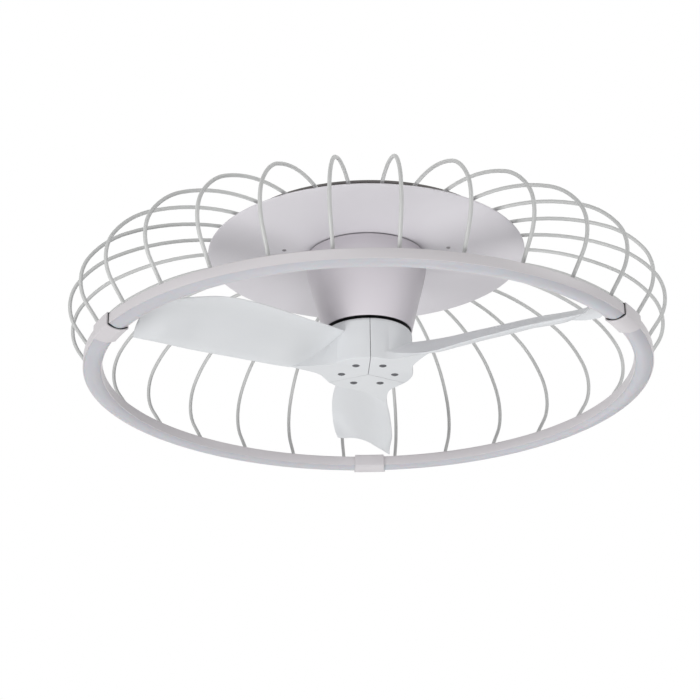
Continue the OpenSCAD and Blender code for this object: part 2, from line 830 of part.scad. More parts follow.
// Distances out of the blade's rings, close together at the round corners of the tip
function ring_out(i) =
    let (run = stations[0][0], k = i / (blade_rings - 1))
    run + (tip_r - 0.4 - run) * (1 - pow(1 - k, 1.9));

module blade_skin() {
    lofted([for (i = [0:blade_rings - 1]) blade_ring(ring_out(i))]);
}

// Height of the blade's middle surface at a distance out and sideways
function middle_z(out, side) =
    let (
        lead = [spline(out, 1), spline(out, 2)],
        trail = [spline(out, 3), spline(out, 4)],
        s = max(0, min(1, (lead[0] - side) / (lead[0] - trail[0]))),
        lift = arch_at(out, s) * norm(trail - lead) / (lead[0] - trail[0])
    )
    lead[1] + s * (trail[1] - lead[1]) + lift;

// The web fills the room between the blade's root and the plane of the hub's floor
module blade_web() {
    lofted([for (at = web_stations)
        [
            [at[0], at[1], hub_low], [at[0], at[1], middle_z(at[0], at[1])],
            [at[0], at[2], middle_z(at[0], at[2])], [at[0], at[2], hub_low]
        ]]);
}

// Points of a quarter circle of radius r about a centre, from one angle to another
function corner(centre, r, from, to, steps = 6) =
    [for (k = [0:steps])
        let (turn = from + (to - from) * k / steps)
        centre + r * [cos(turn), sin(turn)]];

// Third of the hub: a cup with a rolled rim, cut to 120 degrees
module hub_sector() {
    half = third / 2;
    low_centre = [hub_r - floor_round, hub_low + floor_round];
    rim_centre = [hub_r - rim_round, hub_top - rim_round];
    difference() {
        rotate([0, 0, -half])
            rotate_extrude(angle = third, $fn = fn_big)
                polygon(concat(
                    [[0, hub_low]],
                    corner(low_centre, floor_round, -90, 0),
                    corner(rim_centre, rim_round, 0, 90),
                    corner(rim_centre, rim_round - sector_wall, 90, 0),
                    [[hub_r - sector_wall, hub_low + sector_floor], [0, hub_low + sector_floor]]
                ));
        for (side = [-1, 1])
            rotate([0, 0, side * half])
                translate([-1, -sector_gap / 2, hub_low - 1]) cube([hub_r + 5, sector_gap, hub_h + 2]);
        for (side = [-1, 1])
            rotate([0, 0, side * blade_screw_angle])
                translate([blade_screw_r, 0, hub_low - 1])
                    cylinder(r = m4_r + slack, h = sector_floor + 2);
    }
}

module blade(i) color(white)
    rotate([0, 0, rotor_turn + i * third]) {
        hub_sector();
        difference() {
            union() {
                blade_skin();
                blade_web();
            }
            translate([0, 0, hub_low - 10]) cylinder(r = root_cut_r, h = hub_h + 20, $fn = fn_big);
        }
    }

module blade_screws() color(dark)
    for (i = [0:5])
        rotate([0, 0, rotor_turn + blade_screw_angle + i * third / 2])
            translate([blade_screw_r, 0, hub_low])
                mirror([0, 0, 1]) screw(blade_screw, m4_r);

// ---------- electronics ----------

module control_board() color(green) difference() {
    translate([0, 0, board_z]) cylinder(r = board_r, h = board_t, $fn = fn_big);
    translate([0, 0, board_z - 1]) cylinder(r = shaft_r + 2, h = board_t + 2);
}

// Places its children on the board, at [distance out, angle]
module on_board(at) {
    rotate([0, 0, at[1]]) translate([at[0], 0, board_z + board_t]) children();
}

module board_components() {
    color(black) {
        for (turn = capacitor_turns)
            on_board([capacitor_out, turn]) cylinder(r = capacitor_r, h = capacitor_h);
        on_board(relay_at) translate([0, -relay_size[1] / 2, 0]) cube(relay_size);
    }
    color(zinc)
        on_board(heat_sink_at) translate([0, -heat_sink_size[1] / 2, 0]) cube(heat_sink_size);
    color(copper) on_board(choke_at) band(choke_r[0], choke_r[1], 0, choke_h);
}

module board_posts() color(white)
    for (turn = [90:120:330])
        rotate([0, 0, turn])
            translate([post_out, 0, cone_low + floor_lift + floor_t])
                cylinder(r = post_r, h = board_z - cone_low - floor_lift - floor_t);

module led_driver() color(white)
    translate([driver_at[0], driver_at[1], pan_floor]) difference() {
        cube(driver_size);
        for (end = [-eps, driver_size[0] - driver_notch[0] + eps])
            translate([end, (driver_size[1] - driver_notch[1]) / 2, driver_size[2] - driver_notch[2]])
                cube(driver_notch + [0, 0, 1]);
    }

module receiver_box() color(white)
    translate([receiver_at[0], receiver_at[1], pan_floor]) cube(receiver_size);

module terminal_block() color(white)
    translate([terminal_at[0], terminal_at[1], pan_floor]) difference() {
        cube(terminal_size);
        for (i = [0:3])
            translate([(i + 0.5) * terminal_pitch, 0, 0]) {
                translate([0, terminal_size[1] / 2, terminal_size[2] / 2])
                    cylinder(r = terminal_screw_r, h = terminal_size[2]);
                translate([0, -1, terminal_wire_z])
                    rotate([-90, 0, 0]) cylinder(r = terminal_wire_r, h = terminal_size[1] / 3 + 1);
            }
    }

module motor_lead() color(black) {
    low = core_mid + core_h / 2 + 2;
    translate([0, 0, low]) cylinder(r = motor_lead_r, h = shaft_top - motor_lead_in - low);
}

module board_lead() color(black)
    rotate([0, 0, lead_hole_turn])
        translate([lead_hole_out, 0, board_z + board_t])
            cylinder(r = board_lead_r, h = pan_floor + lead_end - board_z - board_t);

// ---------- nodes ----------

ceiling_bracket();
fixing_screws();
ceiling_pan();
pan_rim_seal();
canopy_disc();
cage_band(0);  // cage_band_front
cage_band(1);  // cage_band_right
cage_band(2);  // cage_band_left
band_screws();
cage_wires(0);  // cage_wires_front
cage_wires(1);  // cage_wires_right
cage_wires(2);  // cage_wires_left
lead_tube();
led_lead();
ring_channel(0);  // ring_channel_front
ring_channel(1);  // ring_channel_right
ring_channel(2);  // ring_channel_left
ring_diffuser(0);  // ring_diffuser_front
ring_diffuser(1);  // ring_diffuser_right
ring_diffuser(2);  // ring_diffuser_left
led_strip(0);  // led_strip_front
led_strip(1);  // led_strip_right
led_strip(2);  // led_strip_left
strip_connectors();
joint_sleeve(0);  // joint_sleeve_right
joint_sleeve(1);  // joint_sleeve_far
joint_sleeve(2);  // joint_sleeve_left
end_seal(0, -1);  // end_seal_right
end_seal(2, 1);  // end_seal_left
ring_plug();
cone_housing();
cone_floor();
cone_screws();
shaft_flange();
flange_screws();
motor_shaft();
shaft_circlip();
stator_core();
stator_coils();
inner_race(upper_bearing);  // upper_bearing_inner
inner_race(lower_bearing);  // lower_bearing_inner
control_board();
board_components();
board_posts();
led_driver();
receiver_box();
terminal_block();
motor_lead();
board_lead();
outer_race(upper_bearing);  // upper_bearing_outer
outer_race(lower_bearing);  // lower_bearing_outer
balls(upper_bearing);  // upper_bearing_balls
balls(lower_bearing);  // lower_bearing_balls
rotor_can();
rotor_cover();
rotor_magnets();
blade(0);  // blade_1
blade(1);  // blade_2
blade(2);  // blade_3
blade_screws();
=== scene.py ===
"""Low ceiling fan in a wire cage with a lit ring: its finishes and fine shapes.

Metres, +Z up.  The origin is the centre of the face that meets the ceiling, the fan
hangs from it towards -Z, and its front is towards -Y.
"""
import json
import math

import bmesh
import bpy
from mathutils import Matrix, Vector

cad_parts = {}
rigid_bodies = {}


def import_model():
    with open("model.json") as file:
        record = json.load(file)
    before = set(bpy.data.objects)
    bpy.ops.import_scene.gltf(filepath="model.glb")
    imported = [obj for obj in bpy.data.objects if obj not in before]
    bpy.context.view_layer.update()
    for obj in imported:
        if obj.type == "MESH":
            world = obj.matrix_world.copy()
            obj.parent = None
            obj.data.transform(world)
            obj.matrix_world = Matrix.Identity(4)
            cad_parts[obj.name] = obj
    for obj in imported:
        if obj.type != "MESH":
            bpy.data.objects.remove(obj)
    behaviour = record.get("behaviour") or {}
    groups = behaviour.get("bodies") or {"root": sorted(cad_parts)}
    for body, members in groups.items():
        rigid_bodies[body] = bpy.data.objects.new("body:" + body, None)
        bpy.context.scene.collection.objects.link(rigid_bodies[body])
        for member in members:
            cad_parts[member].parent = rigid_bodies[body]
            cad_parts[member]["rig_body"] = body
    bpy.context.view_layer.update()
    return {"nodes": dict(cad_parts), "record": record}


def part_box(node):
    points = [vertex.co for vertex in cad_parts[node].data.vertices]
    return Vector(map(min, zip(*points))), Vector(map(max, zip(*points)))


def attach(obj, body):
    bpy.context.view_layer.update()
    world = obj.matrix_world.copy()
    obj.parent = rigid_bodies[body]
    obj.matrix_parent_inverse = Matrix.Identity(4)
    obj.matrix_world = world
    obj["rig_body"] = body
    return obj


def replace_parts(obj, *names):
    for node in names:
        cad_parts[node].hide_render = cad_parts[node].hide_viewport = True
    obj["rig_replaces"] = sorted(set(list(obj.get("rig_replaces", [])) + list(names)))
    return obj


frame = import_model()

MM = 0.001
FRONT = -90
THIRD = 120

# Sizes that the frame gives
disc_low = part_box("canopy_disc")[0].z
disc_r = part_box("canopy_disc")[1].x
hub_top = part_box("blade_2")[1].z
cone_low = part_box("cone_housing")[0].z
ring_r = -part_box("ring_channel_front")[0].y
ring_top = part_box("ring_channel_front")[1].z
ring_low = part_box("ring_channel_front")[0].z

# Canopy disc: thickness, its inner edge, the width and rise of its turned-up rim, and the
# roundings of the rim's edge and of its bend
DISC_T = 1.6 * MM
DISC_INNER_R = 53.2 * MM
RIM_W = 14 * MM
RIM_RISE = 0.6 * MM
RIM_ROUND = 0.75 * MM
RIM_BEND = 3 * MM

# Motor housing: a straight collar with a recess round its top, then a taper
CONE_TOP_R = 65.2 * MM
CONE_LOW_R = 48.1 * MM
COLLAR_H = 18.7 * MM
CONE_T = 1.4 * MM
CONE_FLANGE_R = 55.2 * MM
CONE_BEND = 7 * MM
CONE_LIP_ROUND = 0.45 * MM
GROOVE_H = 1.4 * MM
GROOVE_D = 3.5 * MM
GROOVE_ROUND = 0.3 * MM

# Hub of three sectors, and how far the rotor is turned at rest
HUB_R = 48 * MM
HUB_H = 47.1 * MM
hub_low = hub_top - HUB_H
HUB_RIM_ROUND = 5.5 * MM
HUB_FLOOR_ROUND = 1.2 * MM
SECTOR_WALL = 2.2 * MM
SECTOR_FLOOR = 3.8 * MM
SECTOR_GAP = 0.6 * MM
ROTOR_TURN = 93.4

# Cage wires: radius, height and place of their upper ends, then the arcs down to the ring
# (radius, turn, steps), and the welds at both ends
WIRE_R = 2 * MM
WIRES_PER_THIRD = 10
WIRE_STEP = THIRD / WIRES_PER_THIRD
WIRE_TOP = -10.3 * MM
BAND_R = 150.05 * MM
TUBE_START_R = 145 * MM
WIRE_STRAIGHT = 9.5 * MM
WIRE_ARCS = ((245 * MM, 27.5, 9), (104 * MM, 27.5, 7), (48 * MM, 70, 18))
LEAD_ANGLE = 42
WELD_R = 2.8 * MM
WELD_H = 1.6 * MM
FOOT_SHARES = (1, 0.5, 0.15, 0)
ROD_SIDES = 20

# Ring: channel section, diffuser, and the sleeves and seals at its joints; angles in degrees
RING_W = 20 * MM
RING_T = 1.2 * MM
RING_TOP_ROUND = 1.2 * MM
RING_LIP_ROUND = 0.35 * MM
JOINT_ANGLES = (60.9, 180, 298.3)
CHANNEL_GAP = 0.1
DIFFUSER_DOME = 3 * MM
DIFFUSER_T = 1.8 * MM
DIFFUSER_FIT = 0.1 * MM
DOME_STEPS = 16
SLEEVE_ANGLE = 7
SLEEVE_SIDE = 2 * MM
SLEEVE_WALL = 1.4 * MM
SLEEVE_FIT = 0.15 * MM
SLEEVE_ROUND = 1.3 * MM
SLEEVE_EASE = 0.2 * MM
SLEEVE_STEPS = 10
SEAL_ANGLE = 0.2
SEAL_SIDE = 0.7 * MM
SEAL_WALL = 0.6 * MM
SEAL_FIT = 0.05 * MM
SEAL_ROUND = 0.5 * MM
SEAL_EASE = 0.1 * MM

# Blade stations in millimetres: distance out, sideways place and height of the leading
# edge, those of the trailing edge, then the rise and the sway of the section's arch; and
# the web's stations: distance out, then its leading and trailing walls
BLADE_STATIONS = (
    (28, 18, -122, -37, -146, 3, 0), (45, 21.5, -121.6, -26.4, -149.6, 3, 0),
    (68, 25.5, -121.6, -24.4, -153.6, 2.4, 1.4), (90, 27.7, -121.6, -26.3, -155.4, 0.7, 2.8),
    (115, 29.4, -120.2, -30, -155, 0, 3), (145, 31.3, -119.1, -33.7, -154.4, -0.4, 3.1),
    (175, 31.9, -119.3, -36.7, -154.3, 0.1, 3.5), (200, 31, -122, -38.8, -154.1, 1.5, 3.8),
    (220, 29.3, -126.8, -38.7, -154.1, 2.9, 4.6), (240, 26.1, -132.1, -38.7, -154.2, 5.3, 4.8),
    (262, 21, -134.9, -39.9, -154.5, 9.6, 0.8),
)
WEB_STATIONS = (
    (33, 12, -34.5), (37, 12, -31.2), (41, 12, -28.4), (46.5, 12, -26), (50.5, 3.2, -24.9),
    (58, -4.4, -24.4), (66, -11, -24.3), (75, -17.5, -24.2), (82, -22.3, -24.1),
)
# Tip: its distance out, and the depth and width of its two oval corners
TIP_R = 262
LEAD_CORNER = (8, 8.4)
TRAIL_CORNER = (3.3, 28)
# Section: thickness, where it starts to thicken towards the hub and over what distance it
# doubles, how full it is near its edges, and the factor that gives the sway a height of 1
BLADE_T = 3.4
THICKER_FROM = 70
THICKER_OVER = 60
FULLNESS = 0.6
SWAY_SCALE = 10.39

# Mesh: steps of a full turn and of a third of the ring, and the reach of a merge
TURN_STEPS = 256
THIRD_STEPS = 132
MERGE = 0.001 * MM


# ---------- finishes ----------

class Value:
    """A number carried by a node's socket, for writing shader maths as plain maths."""

    def __init__(self, recipe, socket):
        self.recipe = recipe
        self.socket = socket

    def _maths(self, operation, first, second):
        return self.recipe.add("ShaderNodeMath", {"operation": operation}, {0: first, 1: second})

    def __add__(self, other):
        return self._maths("ADD", self, other)

    def __sub__(self, other):
        return self._maths("SUBTRACT", self, other)

    def __rsub__(self, other):
        return self._maths("SUBTRACT", other, self)

    def __mul__(self, other):
        return self._maths("MULTIPLY", self, other)

    __radd__ = __add__
    __rmul__ = __mul__


class Recipe:
    """The nodes of one finish round its shader."""

    def __init__(self, name, **constants):
        self.material = bpy.data.materials.new(name)
        self.material.use_nodes = True
        self.tree = self.material.node_tree
        self.shader = self.tree.nodes["Principled BSDF"]
        self.place = self.add("ShaderNodeTexCoord", output="Object")
        for key, value in constants.items():
            self.shader.inputs[key.replace("_", " ").title().replace("Ior", "IOR")].default_value = value

    def add(self, kind, settings=(), sockets=(), output=0):
        """Adds a node: its settings first, then the values or links of its sockets."""
        node = self.tree.nodes.new(kind)
        for key, value in dict(settings).items():
            setattr(node, key, value)
        for key, value in dict(sockets).items():
            self.feed(node.inputs[key], value)
        return Value(self, node.outputs[output])

    def feed(self, socket, value):
        """Links a value to a socket, or sets the socket's own number, colour or vector."""
        if isinstance(value, Value):
            self.tree.links.new(value.socket, socket)
        else:
            socket.default_value = value

    def surface(self, **links):
        """Feeds the shader's own sockets."""
        for key, value in links.items():
            self.feed(self.shader.inputs[key.replace("_", " ").title()], value)
        return self.material

    def noise(self, size, detail=3, stretch=(1, 1, 1)):
        """Cloudy pattern from 0 to 1, whose patches are about size across."""
        mapped = self.add("ShaderNodeMapping", {}, {"Vector": self.place, "Scale": stretch})
        return self.add("ShaderNodeTexNoise", {}, {"Vector": mapped, "Scale": 1 / size, "Detail": detail})

    def grains(self, size, output="Distance"):
        """Cells about size across."""
        return self.add("ShaderNodeTexVoronoi", {}, {"Vector": self.place, "Scale": 1 / size},
                        output)

    def between(self, share, first, second):
        """Colour between two, by a share from 0 to 1."""
        node = self.tree.nodes.new("ShaderNodeMix")
        node.data_type = "RGBA"
        self.feed(node.inputs["Factor"], share)
        self.feed(next(s for s in node.inputs if s.identifier == "A_Color"), first)
        self.feed(next(s for s in node.inputs if s.identifier == "B_Color"), second)
        return Value(self, next(s for s in node.outputs if s.identifier == "Result_Color"))

    def bumps(self, height, depth):
        """Normal over a height pattern of the given depth in metres."""
        return self.add("ShaderNodeBump", {},
                        {"Height": height, "Distance": depth, "Strength": 1.0}, "Normal")

    def faces_up(self):
        """1 on faces that look up, 0 on the rest, with a soft change."""
        normal = self.add("ShaderNodeNewGeometry", output="Normal")
        height = self.add("ShaderNodeSeparateXYZ", {}, {"Vector": normal}, "Z")
        return self.add("ShaderNodeMapRange", {"interpolation_type": "SMOOTHSTEP"},
                        {"Value": height, "From Min": 0.45, "From Max": 0.95})


def colour(red, green, blue):
    """Linear colour from 0 to 255 display values."""
    def linear(v):
        v = v / 255
        return v / 12.92 if v <= 0.04045 else ((v + 0.055) / 1.055) ** 2.4
    return (linear(red), linear(green), linear(blue), 1)


def painted(name, tone, shade, roughness, painted_shade_above=None):
    """Sprayed paint: fine orange peel, slow drift of tone, and a little dust on top faces.

    Above a given height the colour turns darker: painted shade for the shadow inside a recess.
    """
    paint = Recipe(name, roughness=roughness, coat_roughness=0.25, coat_weight=0.15)
    drift = paint.noise(70 * MM, 2)
    fleck = paint.noise(0.5 * MM, 2)
    base = paint.between(drift, tone, shade)
    base = paint.between(fleck * 0.06, base, colour(255, 255, 255))
    dust = paint.faces_up() * paint.noise(9 * MM, 5) * 0.10
    base = paint.between(dust, base, colour(150, 146, 140))
    # Painted shade: above the given height the base colour turns a mid grey, standing in for the shadow
    # inside a recess.
    if painted_shade_above is not None:
        height = paint.add("ShaderNodeSeparateXYZ", {}, {"Vector": paint.place}, "Z")
        recess_shade = paint.add("ShaderNodeMapRange", {}, {"Value": height, "From Min": painted_shade_above - 0.05 * MM,
                                                    "From Max": painted_shade_above + 0.05 * MM})
        base = paint.between(recess_shade, base, colour(112, 109, 110))
    peel = paint.noise(1.1 * MM, 2)
    return paint.surface(
        base_color=base,
        roughness=roughness + (paint.noise(24 * MM, 4) - 0.5) * 0.10,
        normal=paint.bumps(peel, 0.012 * MM))


def moulded(name, tone, shade, roughness):
    """Moulded plastic: fine spark-eroded grain, faint flow marks, and dust on top faces."""
    plastic = Recipe(name, roughness=roughness)
    flow = plastic.noise(55 * MM, 2, (1, 1, 2.5))
    base = plastic.between(flow, tone, shade)
    dust = plastic.faces_up() * plastic.noise(7 * MM, 5) * 0.14
    base = plastic.between(dust, base, colour(150, 147, 142))
    grain = plastic.noise(0.45 * MM, 2)
    return plastic.surface(
        base_color=base,
        roughness=roughness + (plastic.noise(12 * MM, 3) - 0.5) * 0.12,
        normal=plastic.bumps(grain, 0.010 * MM))


def opal():
    """Milky sheet with a soft skin; a little light spreads inside it."""
    sheet = Recipe("opal_sheet", roughness=0.42, subsurface_weight=0.25, subsurface_scale=0.004,
                   ior=1.49)
    haze = sheet.noise(40 * MM, 3)
    return sheet.surface(
        base_color=sheet.between(haze, colour(195, 195, 201), colour(190, 190, 196)),
        roughness=0.40 + (sheet.noise(15 * MM, 3) - 0.5) * 0.08,
        normal=sheet.bumps(sheet.noise(1.6 * MM, 2), 0.006 * MM))


def rubber(name, tone, worn):
    """Matt rubber with a dusty bloom."""
    skin = Recipe(name, roughness=0.8)
    bloom = skin.noise(5 * MM, 5)
    return skin.surface(
        base_color=skin.between(bloom, tone, worn),
        roughness=0.72 + bloom * 0.2,
        normal=skin.bumps(skin.noise(0.35 * MM, 3), 0.02 * MM))


def zinc_plate():
    """Zinc plate: small crystal patches and fine draw lines."""
    metal = Recipe("zinc_plate", metallic=1.0, roughness=0.38)
    patches = metal.grains(2.2 * MM, "Color")
    patch = metal.add("ShaderNodeSeparateColor", {}, {"Color": patches}, "Red")
    lines = metal.noise(0.3 * MM, 3, (1, 0.06, 1))
    return metal.surface(
        base_color=metal.between(patch * 0.7 + lines * 0.3, colour(190, 191, 190), colour(160, 162, 163)),
        roughness=0.32 + patch * 0.14,
        normal=metal.bumps(lines, 0.006 * MM))


def ground_steel():
    """Bearing steel with round grinding marks."""
    metal = Recipe("ground_steel", metallic=1.0, roughness=0.2)
    marks = metal.noise(0.25 * MM, 2, (0.2, 0.2, 1))
    return metal.surface(
        base_color=metal.between(marks, colour(205, 206, 208), colour(182, 183, 187)),
        roughness=0.14 + marks * 0.16,
        normal=metal.bumps(marks, 0.003 * MM))


def screw_zinc(name, tone, shade):
    """Passivated screws, paler where a driver has rubbed."""
    metal = Recipe(name, metallic=0.55, roughness=0.45)
    rub = metal.noise(0.9 * MM, 4)
    return metal.surface(
        base_color=metal.between(rub, tone, shade),
        roughness=0.36 + rub * 0.2,
        normal=metal.bumps(metal.noise(0.4 * MM, 2), 0.01 * MM))


def stacked_sheet():
    """Motor core: thin sheets stacked upwards."""
    core = Recipe("stacked_sheet", metallic=0.8, roughness=0.5)
    sheet_t = 0.5 * MM
    wave = core.add("ShaderNodeTexWave", {"bands_direction": "Z"},
                    {"Vector": core.place, "Scale": 1 / (sheet_t * math.tau), "Distortion": 0.3})
    return core.surface(
        base_color=core.between(wave, colour(96, 97, 104), colour(140, 141, 148)),
        normal=core.bumps(wave, 0.05 * MM))


def sintered():
    """Sintered magnet: dark, fine pores."""
    block = Recipe("sintered_magnet", metallic=0.4, roughness=0.62)
    pores = block.grains(0.6 * MM)
    return block.surface(
        base_color=block.between(pores, colour(70, 71, 77), colour(104, 105, 112)),
        normal=block.bumps(pores, 0.03 * MM))


def wound_copper():
    """Enamelled wire, laid in turns along the coil's height."""
    coil = Recipe("enamelled_copper", metallic=0.9, roughness=0.3, coat_weight=0.6)
    turns = coil.add("ShaderNodeTexWave", {"bands_direction": "Z"},
                     {"Vector": coil.place, "Scale": 320, "Distortion": 0.4})
    return coil.surface(
        base_color=coil.between(turns, colour(120, 62, 36), colour(204, 118, 74)),
        roughness=0.25 + turns * 0.15,
        normal=coil.bumps(turns, 0.2 * MM))


def circuit_mask():
    """Green solder mask over faint tracks, with the weave under it."""
    board = Recipe("circuit_mask", roughness=0.35, coat_weight=0.4)
    cells = board.add("ShaderNodeTexBrick", {"offset": 0.5},
                      {"Vector": board.place, "Scale": 260, "Mortar Size": 0.05}, "Fac")
    return board.surface(
        base_color=board.between(cells * 0.7, colour(24, 92, 62), colour(42, 122, 84)),
        normal=board.bumps(cells, 0.03 * MM))


# One finish for each material slot
FINISHES = {
    "satin_paint": painted("satin_paint_finish", colour(221, 218, 223), colour(215, 212, 217), 0.46),
    "ring_paint": painted("ring_paint_finish", colour(212, 208, 211), colour(205, 201, 204), 0.44),
    "blade_plastic": moulded("blade_moulding", colour(219, 221, 223), colour(214, 216, 219), 0.5),
    "opal_diffuser": opal(),
    "pan_paint": painted("pan_paint_finish", colour(204, 200, 202), colour(196, 192, 194), 0.5),
    "black_rubber": rubber("black_rubber_skin", colour(24, 24, 25), colour(44, 44, 45)),
    "black_plastic": moulded("black_moulding", colour(34, 34, 36), colour(28, 28, 30), 0.5),
    "white_plastic": moulded("white_moulding", colour(221, 221, 218), colour(214, 214, 211), 0.45),
    "zinc_steel": zinc_plate(),
    "bearing_steel": ground_steel(),
    "dark_screw": screw_zinc("dark_zinc", colour(118, 119, 123), colour(86, 87, 91)),
    "lamination": stacked_sheet(),
    "magnet": sintered(),
    "enamelled_copper": wound_copper(),
    "circuit_board": circuit_mask(),
    "cable_sheath": rubber("cable_skin", colour(40, 40, 41), colour(58, 58, 59)),
}


# ---------- shaping ----------

def turn(degrees):
    return Matrix.Rotation(math.radians(degrees), 4, "Z")


def in_order(parts, key):
    """Puts a bmesh's vertices, edges or faces in the order of a key."""
    rank = {part: i for i, part in enumerate(sorted(parts, key=key))}
    parts.sort(key=rank.get)
    parts.index_update()


def merge(bm, reach=MERGE):
    """Merges vertices within reach, then puts the mesh in order of place.

    Blender's own merge leaves another order each run, which moves a later union a little.
    """
    bmesh.ops.remove_doubles(bm, verts=bm.verts[:], dist=reach)
    in_order(bm.verts, lambda vert: tuple(vert.co))
    for parts in (bm.edges, bm.faces):
        in_order(parts, lambda part: sorted(vert.index for vert in part.verts))


def outline(bm, points, rounds=()):
    """Closed section in the X-Z plane; each round is (corner numbers, radius, steps)."""
    verts = [bm.verts.new((x, 0, z)) for x, z in points]
    bm.faces.new(verts)
    for corners, radius, steps in rounds:
        bmesh.ops.bevel(bm, geom=[verts[i] for i in corners], offset=radius, affect="VERTICES",
                        segments=steps, profile=0.5, material=-1, clamp_overlap=True)


def turned(bm):
    """Turns the outline in the bmesh through a full circle."""
    bmesh.ops.delete(bm, geom=bm.faces[:], context="FACES_ONLY")
    bmesh.ops.spin(bm, geom=bm.verts[:] + bm.edges[:], cent=(0, 0, 0), axis=(0, 0, 1),
                   dvec=(0, 0, 0), angle=math.tau, steps=TURN_STEPS, use_merge=True)


def swept_arc(bm, start, stop, steps):
    """Sweeps the section in the bmesh about the upright axis, closed at both ends."""
    bmesh.ops.rotate(bm, verts=bm.verts[:], cent=(0, 0, 0), matrix=turn(start))
    bmesh.ops.spin(bm, geom=bm.verts[:] + bm.edges[:] + bm.faces[:], cent=(0, 0, 0),
                   axis=(0, 0, 1), dvec=(0, 0, 0), angle=math.radians(stop - start), steps=steps)


def ease_edges(bm, width):
    """Rounds every edge whose faces meet at more than 60 degrees."""
    bmesh.ops.recalc_face_normals(bm, faces=bm.faces[:])
    sharp = [edge for edge in bm.edges
             if len(edge.link_faces) == 2 and edge.calc_face_angle() > math.radians(60)]
    bmesh.ops.bevel(bm, geom=sharp, offset=width, affect="EDGES", segments=2, profile=0.5,
                    material=-1, clamp_overlap=True)


def shown(name, mesh, slot, body, stands_for, crease=38, finish=None):
    """Makes a finished piece from a mesh, shaded smooth up to a crease in degrees."""
    mesh.materials.append(finish or FINISHES[slot])
    mesh.shade_smooth()
    mesh.set_sharp_from_angle(angle=math.radians(crease))
    piece = bpy.data.objects.new(name, mesh)
    bpy.context.scene.collection.objects.link(piece)
    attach(piece, body)
    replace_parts(piece, *stands_for)


def finished(name, bm, slot, body, *stands_for, finish=None):
    """Closes a bmesh's seams, points its faces outwards and shows it."""
    merge(bm)
    bmesh.ops.recalc_face_normals(bm, faces=bm.faces[:])
    mesh = bpy.data.meshes.new(name)
    bm.to_mesh(mesh)
    bm.free()
    shown(name, mesh, slot, body, stands_for, finish=finish)


# ---------- canopy ----------

def canopy_disc():
    bm = bmesh.new()
    rim_in = disc_r - RIM_W
    high = disc_low + DISC_T
    outline(bm, [
        (DISC_INNER_R, disc_low), (rim_in, disc_low), (disc_r, disc_low + RIM_RISE),
        (disc_r, high + RIM_RISE), (rim_in, high), (DISC_INNER_R, high),
    ], [((2, 3), RIM_ROUND, 4), ((1, 4), RIM_BEND, 5)])
    turned(bm)
    finished("disc_panel", bm, "satin_paint", "frame", "canopy_disc")


def motor_housing():
    bm = bmesh.new()
    low_in, top_in = CONE_LOW_R - CONE_T, CONE_TOP_R - CONE_T
    bend = disc_low - COLLAR_H
    groove_in = CONE_TOP_R - GROOVE_D
    outline(bm, [
        (groove_in, disc_low), (CONE_FLANGE_R, disc_low), (CONE_FLANGE_R, disc_low - CONE_T),
        (groove_in - CONE_T, disc_low - CONE_T), (groove_in - CONE_T, disc_low - GROOVE_H - CONE_T),
        (top_in, disc_low - GROOVE_H - CONE_T), (top_in, bend), (low_in, cone_low),
        (CONE_LOW_R, cone_low), (CONE_TOP_R, bend), (CONE_TOP_R, disc_low - GROOVE_H),
        (groove_in, disc_low - GROOVE_H),
    ], [((10,), GROOVE_ROUND, 3), ((7, 8), CONE_LIP_ROUND, 3), ((6, 9), CONE_BEND, 8)])
    turned(bm)
    # The paint is darkened above the recess's roof under the disc: painted shade for the shadow in that
    # recess.
    paint = painted("housing_paint_with_painted_shade", colour(220, 215, 221), colour(214, 209, 215), 0.46,
                    painted_shade_above=disc_low - GROOVE_H)
    finished("tapered_housing", bm, "satin_paint", "frame", "cone_housing", finish=paint)


# ---------- cage ----------

def wire_line(start_r):
    """Points (distance out, height, heading in degrees) down a wire's centre line."""
    out, high, heading = BAND_R + WIRE_STRAIGHT, WIRE_TOP, 0
    line = [(start_r, high, 0), (start_r + 0.5 * WELD_H, high, 0), (start_r + WELD_H, high, 0),
            (out, high, 0)]
    for bend, sweep, steps in WIRE_ARCS:
        for k in range(1, steps + 1):
            now, was = math.radians(heading + sweep * k / steps), math.radians(heading)
            line.append((out + bend * (math.sin(now) - math.sin(was)),
                         high + bend * (math.cos(now) - math.cos(was)), math.degrees(now)))
        out, high, heading = line[-1]
    slope = math.radians(heading)
    for share in FOOT_SHARES:
        above = share * WELD_H
        run = (high - ring_top - above) / math.sin(slope)
        line.append((out + run * math.cos(slope), ring_top + above, heading))
    return line


def rod(bm, line, angle, weld):
    """Round rod along a wire's line, widened by a weld at each end; its foot is cut level."""
    last = len(line) - 1
    flares = {0: 1, 1: 0.3, last - 2: 0.25, last - 1: 0.62, last: 1}
    before, ring = None, None
    for i, (out, high, heading) in enumerate(line):
        wide = WIRE_R + weld * flares.get(i, 0)
        tilt = Matrix.Rotation(math.radians(90 + heading), 4, "Y")
        if i > last - len(FOOT_SHARES):
            tilt = Matrix.Diagonal((-1 / math.sin(math.radians(heading)), 1, 1, 1))
        here = (turn(FRONT + angle) @ Matrix.Translation((out, 0, high)) @ tilt
                @ Matrix.Diagonal((wide, wide, wide, 1)))
        if ring is None:
            ring = bmesh.ops.create_circle(bm, cap_ends=True, segments=ROD_SIDES, radius=1,
                                           matrix=here)["verts"]
            edges = [edge for edge in bm.edges if all(vert in ring for vert in edge.verts)]
        else:
            grown = bmesh.ops.extrude_edge_only(bm, edges=edges)["geom"]
            ring = [part for part in grown if isinstance(part, bmesh.types.BMVert)]
            edges = [part for part in grown if isinstance(part, bmesh.types.BMEdge)
                     and all(vert in ring for vert in part.verts)]
            bmesh.ops.transform(bm, verts=ring, matrix=here @ before.inverted())
        before = here
    bmesh.ops.edgeloop_fill(bm, edges=edges)


